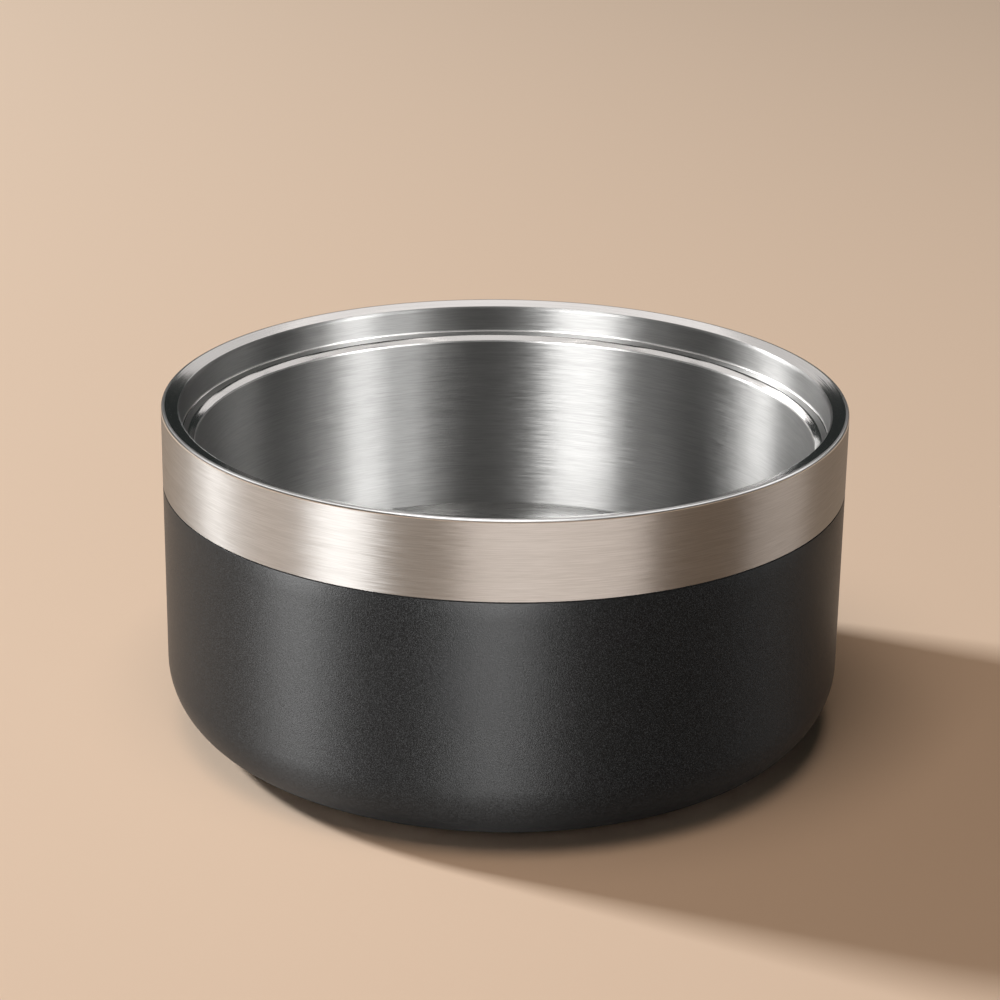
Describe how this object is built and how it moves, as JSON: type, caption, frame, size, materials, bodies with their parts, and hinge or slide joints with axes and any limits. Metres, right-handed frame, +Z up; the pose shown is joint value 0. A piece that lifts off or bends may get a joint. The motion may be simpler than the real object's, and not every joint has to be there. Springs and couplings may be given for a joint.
{
  "type": "dog bowl",
  "caption": "Round double-wall steel dog bowl with a brushed bare band, a stepped inner rim, a dark powder-coated body and a rubber foot ring.",
  "frame": {"origin": "centre of the foot ring's underside, on the surface that the bowl stands on", "axes": "+Z up along the bowl's axis; X and Y are free because the bowl is round"},
  "size_m": [0.203, 0.203, 0.101],
  "materials": {
    "liner_steel": "brushed around the axis",
    "shell_steel": "brushed around the axis",
    "weld_steel": "ground and polished",
    "coat": "fine textured powder coat, satin",
    "foot_rubber": "matt"
  },
  "bodies": {
    "root": {"inner_bowl": "liner_steel", "outer_shell": "shell_steel", "rim_weld": "weld_steel", "powder_coat": "coat", "foot_ring": "foot_rubber"}
  },
  "joints": []
}
